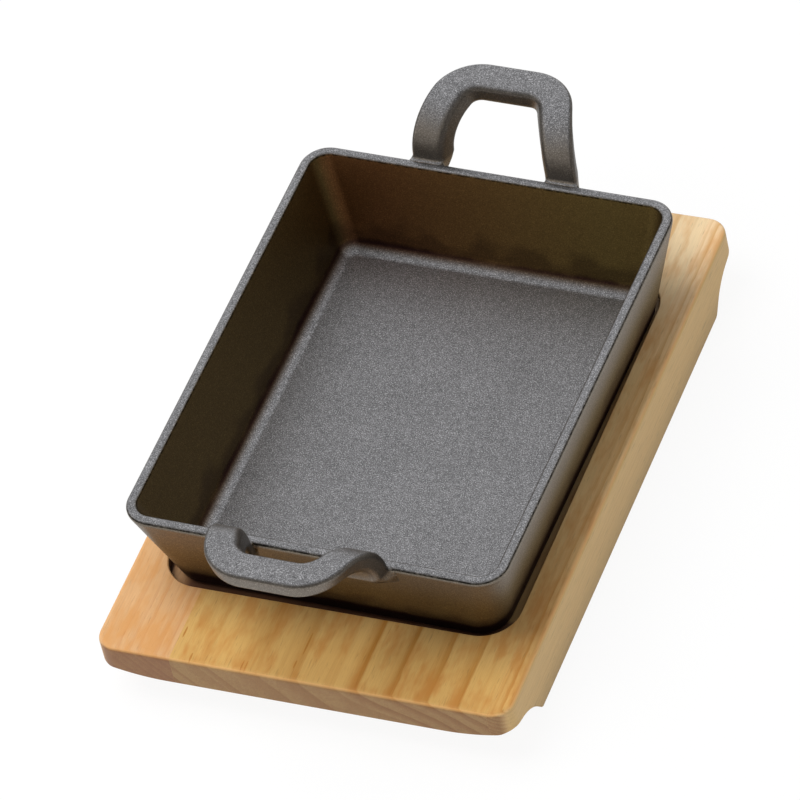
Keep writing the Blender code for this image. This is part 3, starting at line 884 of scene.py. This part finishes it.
def pine(stave, finishes, recess, rings, surface):
    """The wood of one stave, with its own growth rings and colours."""
    material, build = new_material("pine_" + stave)
    coordinates = build.add("ShaderNodeTexCoord").outputs
    place = coordinates["Object"]
    across = build.add_group(rings, {"Vector": place})["Across"]
    late = latewood(build, across, *RINGS[stave])
    if stave in FLECKS:
        late = build.plus(late, build.times(flecks(build, place, FLECKS[stave]), FLECK_STRENGTH))
    colours = {"Pale": stave + "_pale", "Dark": stave + "_dark", "Front": "front_tint"}
    colours |= {"Worn": "worn", "Recess Shade": "recess_shade", "Mottle": "mottle"}
    inputs = {name: opaque(getattr(finishes, key)) for name, key in colours.items()}
    if stave == "left":
        # This stave is red enough without the front tone
        inputs["Front"] = WHITE
    inputs |= {"Vector": place, "Normal": coordinates["Normal"], "Latewood": late}
    inputs |= {"Recess X": recess[0], "Recess Y": recess[1]}
    made = build.add_group(surface, inputs)
    bump = {"Strength": 0.30, "Distance": 0.00010, "Height": made["Height"]}
    bump = build.made("ShaderNodeBump", bump)
    inputs = {"Base Color": made["Color"], "Roughness": made["Roughness"], "Normal": bump}
    end_material(build, inputs)
    return material


# Pieces


def seat_matrix(pan, board):
    """Where the pan's underside stands. The loose pan is shifted and turned a little in its recess."""
    middle_x = (PAN_LOW.x + PAN_HIGH.x) / 2
    turn = -math.atan(SEAT_TURN * board.recess_clearance / (pan.rim_length / 2))
    return Matrix.Translation((middle_x, 0, PAN_LOW.z)) @ Matrix.Rotation(turn, 4, "Z")


def swept_ring(name, corners, size, radii, drafts=(0.0, 0.0), round_steps=6, material=None):
    """A section of these corners, swept round a rectangle of this (width, length, height).

    The radii are those of the rectangle's corners at full size and at their least.
    """
    values = dict(zip(("Width", "Length", "Height"), size))
    values |= dict(zip(("Corner Radius", "Least Radius"), radii))
    values |= dict(zip(("Side Draft", "End Draft"), drafts))
    values |= {"Round Steps": round_steps, "Corner Steps": RING_CORNER_STEPS}
    if material:
        values["Material"] = material
    return swept(name, poly_curve(name + "_section", corners), ring_sweep_tree(), values)


def pan_body(pan, material):
    """The walls and the floor. The section is closed over at the pan's middle."""
    middle = pan.rim_width / 2
    corners = [
        (middle, 0, 0),
        (0, 0, pan.base_round),
        (0, pan.height, pan.rim_outer_round),
        (pan.wall, pan.height, pan.rim_inner_round),
        (pan.wall, pan.floor, pan.floor_fillet),
        (middle, pan.floor, 0),
    ]
    size = (pan.rim_width, pan.rim_length, pan.height)
    radii = (pan.corner_radius, pan.base_round)
    drafts = (pan.side_draft, pan.end_draft)
    return swept_ring("pan_body", corners, size, radii, drafts, round_steps=8, material=material)


def strap_reach(pan, along):
    """How far outwards the strap has come at a length along it."""
    turned = min(max(along / pan.handle_bend, 0), pan.handle_angle)
    past = along - turned * pan.handle_bend
    return pan.handle_bend * (1 - math.cos(turned)) + past * math.sin(turned)


def strap_line(pan):
    """The middle line of a handle's strap laid flat, from root to root.

    Seen from above the arms are straight and draw together. The points are closest at the roots.
    """
    half = pan.handle_width / 2
    top = pan.handle_length - half
    taper = (pan.handle_root - pan.handle_end) / 2 / strap_reach(pan, pan.handle_length)

    def arm(along, radius=0):
        return pan.handle_root / 2 - half - taper * strap_reach(pan, along), along, radius

    straight = top - pan.handle_corner
    corners = [arm(-pan.handle_haunch - ROOT_BURIED)]
    corners += [arm(straight * step / ARM_STEPS) for step in range(ARM_STEPS)]
    corners += [arm(top, pan.handle_corner)]
    corners += [(-x, y, radius) for x, y, radius in reversed(corners)]
    points = []
    line = rounded(corners, STRAP_CORNER_STEPS)
    for start, stop in zip(line, line[1:]):
        here = start.copy()
        while (stop - here).length > SHORTEST_REST:
            points.append(here)
            step = max(abs(here.y) / STEPS_FROM_RIM, LEAST_STEP)
            step = min(step, LARGEST_STEP, (stop - here).length)
            here = here + (stop - start).normalized() * step
    points.append(line[-1])
    return [tuple(point) for point in points]


def pan_strap(side, pan, material, tree):
    values = sizes_by_name(pan)
    values |= {"Wall Middle": pan.wall / 2, "Wall Slope": pan.end_draft / pan.height}
    values |= {"Root Sink": ROOT_SINK, "Round Steps": 6, "Material": material}
    strap = swept("handle_" + side, poly_curve("strap_line", strap_line(pan)), tree, values)
    place = Matrix.Translation((0, pan.rim_length / 2 - pan.handle_set_in, pan.height))
    if side == "front":
        place = Matrix.Rotation(math.pi, 4, "Z") @ place
    strap.data.transform(place)
    return strap


class SERVING_PAN_OT_casting(Operator):
    """Build the pan's body and its two loop handles as one casting"""

    bl_idname = "serving_pan.casting"
    bl_label = "Build Casting"

    def execute(self, context):
        pan = context.scene.serving_pan_casting
        board = context.scene.serving_pan_board
        iron = cast_iron(context.scene.serving_pan_finishes, pan)
        body = pan_body(pan, iron)
        tree = bent_strap_tree()
        straps = [pan_strap(side, pan, iron, tree) for side in ("front", "rear")]
        joins = [("UNION", strap) for strap in straps]
        casting = combined("pan", body, joins, sharp_degrees=50)
        discard(body, *straps)
        casting.data.transform(seat_matrix(pan, board))
        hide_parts("pan_casting")
        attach(casting, "pan")
        return {"FINISHED"}


def grip_section(across, board):
    """The finger grip's outline at a place across the board: a lip, a cove and a rounded foot."""
    outward = 1 - (BOARD_HIGH.x - abs(across)) / board.corner_reach
    lift = board.corner_lift * min(max(outward, 0), 1) ** 2
    lip = BOARD_HIGH.z - board.end_thickness
    end = BOARD_HIGH.y + CUTTER_RUN_OUT
    radii = board.cove_radius + board.foot_radius
    slope = math.acos(1 - min(lip / radii, 1))
    tangent = math.tan(slope / 2)
    cove = end - board.grip_flat - board.cove_radius * tangent
    foot = cove - radii * tangent * math.cos(slope)
    heel = foot - board.foot_radius * tangent - CUTTER_MARGIN
    corners = [
        (heel, 0, 0),
        (foot, 0, board.foot_radius),
        (cove, lip, board.cove_radius),
        (end, lip + lift, board.edge_round),
        (end, BOARD_HIGH.z, 0),
        (end + CUTTER_MARGIN, BOARD_HIGH.z, 0),
        (end + CUTTER_MARGIN, -CUTTER_MARGIN, 0),
        (heel, -CUTTER_MARGIN, 0),
    ]
    return rounded(corners, GRIP_CORNER_STEPS)


def grip_cutter(side, board):
    """The finger grip under one end, as a bar across the board that rises near its corners."""
    facing = 1 if side == "rear" else -1
    half = [BOARD_HIGH.x - board.corner_reach * step / GRIP_STEPS for step in range(GRIP_STEPS + 1)]
    half.insert(0, BOARD_HIGH.x + CUTTER_MARGIN)
    shape = bmesh.new()
    rings = []
    for across in half + [-place for place in reversed(half)]:
        places = [(across, facing * y, z) for y, z in grip_section(across, board)]
        rings.append([shape.verts.new(place) for place in places])
    for lower, upper in zip(rings, rings[1:]):
        for index in range(len(lower)):
            shape.faces.new((lower[index - 1], lower[index], upper[index], upper[index - 1]))
    shape.faces.new(rings[0])
    shape.faces.new(rings[-1])
    shape.normal_update()
    bmesh.ops.triangulate(shape, faces=shape.faces)
    bmesh.ops.recalc_face_normals(shape, faces=shape.faces)
    return mesh_object("grip_" + side, shape)


def board_blank(board):
    middle, top = (BOARD_HIGH.x - BOARD_LOW.x) / 2, BOARD_HIGH.z
    corners = [(middle, 0, 0), (0, 0, board.edge_round), (0, top, board.edge_round), (middle, top, 0)]
    size = (2 * middle, BOARD_HIGH.y - BOARD_LOW.y, top)
    return swept_ring("board_blank", corners, size, (board.corner_radius, board.edge_round))


def recess_cutter(board, pan):
    """The recess follows the pan where it passes the board's top, and its upper edge is broken."""
    half_x, half_y = recess_half_sizes(board, pan)
    top = BOARD_HIGH.z
    floor = top - board.recess_depth
    corners = [
        (half_x, floor, 0),
        (0, floor, RECESS_FLOOR_ROUND),
        (0, top - board.recess_arris, board.recess_arris / 2),
        (-board.recess_arris - CUTTER_MARGIN, top + CUTTER_MARGIN, 0),
        (half_x, top + CUTTER_MARGIN, 0),
    ]
    radii = (pan.corner_radius + board.recess_clearance, RECESS_LEAST_RADIUS)
    return swept_ring("recess", corners, (2 * half_x, 2 * half_y, top), radii, round_steps=4)


class SERVING_PAN_OT_board(Operator):
    """Build the three glued staves with their recess and finger grips"""

    bl_idname = "serving_pan.board"
    bl_label = "Build Board"

    def execute(self, context):
        board = context.scene.serving_pan_board
        pan = context.scene.serving_pan_casting
        finishes = context.scene.serving_pan_finishes
        cuts = [grip_cutter(side, board) for side in ("front", "rear")]
        cuts.append(recess_cutter(board, pan))
        joints = [
            BOARD_LOW.x - CUTTER_MARGIN,
            (STAVE_BOXES["left"][1].x + STAVE_BOXES["middle"][0].x) / 2,
            (STAVE_BOXES["middle"][1].x + STAVE_BOXES["right"][0].x) / 2,
            BOARD_HIGH.x + CUTTER_MARGIN,
        ]
        rings, surface = ring_group(), pine_group()
        recess = recess_half_sizes(board, pan)
        end, top = BOARD_HIGH.y + CUTTER_MARGIN, BOARD_HIGH.z + CUTTER_MARGIN
        for stave, left, right in zip(STAVES, joints, joints[1:]):
            blank = board_blank(board)
            low = Vector((left + board.glue_line / 2, -end, -CUTTER_MARGIN))
            high = Vector((right - board.glue_line / 2, end, top))
            slab = box_object("slab_" + stave, low, high)
            operations = [("DIFFERENCE", cut) for cut in cuts] + [("INTERSECT", slab)]
            piece = combined("stave_" + stave, blank, operations, sharp_degrees=30)
            discard(blank, slab)
            piece.data.materials.clear()
            piece.data.materials.append(pine(stave, finishes, recess, rings, surface))
            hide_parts("board_stave_" + stave)
            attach(piece, "board")
        discard(*cuts)
        return {"FINISHED"}


class SERVING_PAN_OT_stage(Operator):
    """Build the floor, the light and the camera"""

    bl_idname = "serving_pan.stage"
    bl_label = "Build Stage"

    def execute(self, context):
        stage = context.scene.serving_pan_stage
        self.add_floor()
        self.add_sky(context.scene, stage)
        self.add_lamp(stage)
        self.add_camera(context.scene, stage)
        return {"FINISHED"}

    def add_floor(self):
        floor = box_object("floor", FLOOR_LOW, FLOOR_HIGH)
        material, build = new_material("white_floor")
        path = build.add("ShaderNodeLightPath").outputs
        seen = build.calc("MAXIMUM", path["Is Camera Ray"], path["Is Glossy Ray"])
        plain = build.made("ShaderNodeBsdfDiffuse", {"Color": (0.9, 0.9, 0.9, 1.0)})
        glow = build.made("ShaderNodeEmission", {"Color": WHITE, "Strength": 1.0})
        share_of_glow = build.times(seen, FLOOR_GLOW)
        mixed = build.made("ShaderNodeMixShader", {0: share_of_glow, 1: plain, 2: glow})
        build.add("ShaderNodeOutputMaterial", {"Surface": mixed})
        floor.data.materials.append(material)

    def add_sky(self, scene, stage):
        world = bpy.data.worlds.new("studio")
        world.use_nodes = True
        world.node_tree.nodes.clear()
        build = TreeBuilder(world.node_tree)
        path = build.add("ShaderNodeLightPath").outputs
        direction = build.add("ShaderNodeTexCoord").outputs["Generated"]
        _, back, _ = self.camera_axes(stage)
        facing = build.add("ShaderNodeVectorMath", {0: direction, 1: back}, operation="DOT_PRODUCT")
        mirrored = build.ramp(facing.outputs["Value"], 0.55, 0.92, 1.0, stage.dark_side, smooth=True)
        strength = build.ramp(path["Is Glossy Ray"], 0.0, 1.0, stage.sky, mirrored)
        strength = build.ramp(path["Is Camera Ray"], 0.0, 1.0, strength, 1.0)
        light = build.made("ShaderNodeBackground", {"Color": WHITE, "Strength": strength})
        build.add("ShaderNodeOutputWorld", {"Surface": light})
        scene.world = world

    def add_lamp(self, stage):
        lamp = bpy.data.lights.new("key", "AREA")
        lamp.shape = "DISK"
        lamp.size = stage.key_size
        lamp.energy = stage.key
        obj = add_object("key", lamp)
        obj.location = KEY_PLACE
        obj.rotation_euler = (-KEY_PLACE).to_track_quat("-Z", "Y").to_euler()
        obj.visible_glossy = False

    def camera_axes(self, stage):
        """The camera's right, its back and its up, before its roll."""
        level = math.cos(stage.elevation)
        side, front = math.sin(stage.azimuth), math.cos(stage.azimuth)
        back = Vector((side * level, -front * level, math.sin(stage.elevation)))
        right = Vector((front, side, 0))
        return right, back, back.cross(right)

    def add_camera(self, scene, stage):
        right, back, up = self.camera_axes(stage)
        cosine, sine = math.cos(stage.roll), math.sin(stage.roll)
        across = cosine * right + sine * up
        upright = cosine * up - sine * right
        place = Vector((0, 0, BOARD_HIGH.z)) + back * stage.distance
        place -= across * stage.aim_right + upright * stage.aim_up
        lens = bpy.data.cameras.new("camera")
        lens.sensor_width = SENSOR_WIDTH
        lens.lens = stage.lens
        lens.clip_start = 0.1
        lens.clip_end = 50.0
        camera = add_object("camera", lens)
        turn = Matrix((across, upright, back)).transposed().to_4x4()
        camera.matrix_world = Matrix.Translation(place) @ turn
        scene.camera = camera


class VIEW3D_PT_serving_pan(Panel):
    bl_label = "Serving Pan"
    bl_space_type = "VIEW_3D"
    bl_region_type = "UI"
    bl_category = "Serving Pan"

    def draw(self, context):
        scene = context.scene
        steps = [
            ("serving_pan_casting", SERVING_PAN_OT_casting),
            ("serving_pan_board", SERVING_PAN_OT_board),
            ("serving_pan_stage", SERVING_PAN_OT_stage),
        ]
        for group, operator in steps:
            box = self.layout.box()
            for name in getattr(scene, group).__annotations__:
                box.prop(getattr(scene, group), name)
            box.operator(operator.bl_idname)
        box = self.layout.box()
        for name in scene.serving_pan_finishes.__annotations__:
            box.prop(scene.serving_pan_finishes, name)


GROUPS = {
    "serving_pan_board": ServingPanBoardSizes,
    "serving_pan_casting": ServingPanCastingSizes,
    "serving_pan_finishes": ServingPanFinishes,
    "serving_pan_stage": ServingPanStage,
}
CLASSES = (
    *GROUPS.values(),
    SERVING_PAN_OT_casting,
    SERVING_PAN_OT_board,
    SERVING_PAN_OT_stage,
    VIEW3D_PT_serving_pan,
)


def register():
    for cls in CLASSES:
        bpy.utils.register_class(cls)
    for name, group in GROUPS.items():
        setattr(bpy.types.Scene, name, PointerProperty(type=group))


def unregister():
    for name in GROUPS:
        delattr(bpy.types.Scene, name)
    for cls in reversed(CLASSES):
        bpy.utils.unregister_class(cls)


def main():
    register()
    bpy.context.scene.view_settings.view_transform = "Standard"
    bpy.ops.serving_pan.casting()
    bpy.ops.serving_pan.board()
    bpy.ops.serving_pan.stage()


if __name__ == "__main__":
    main()
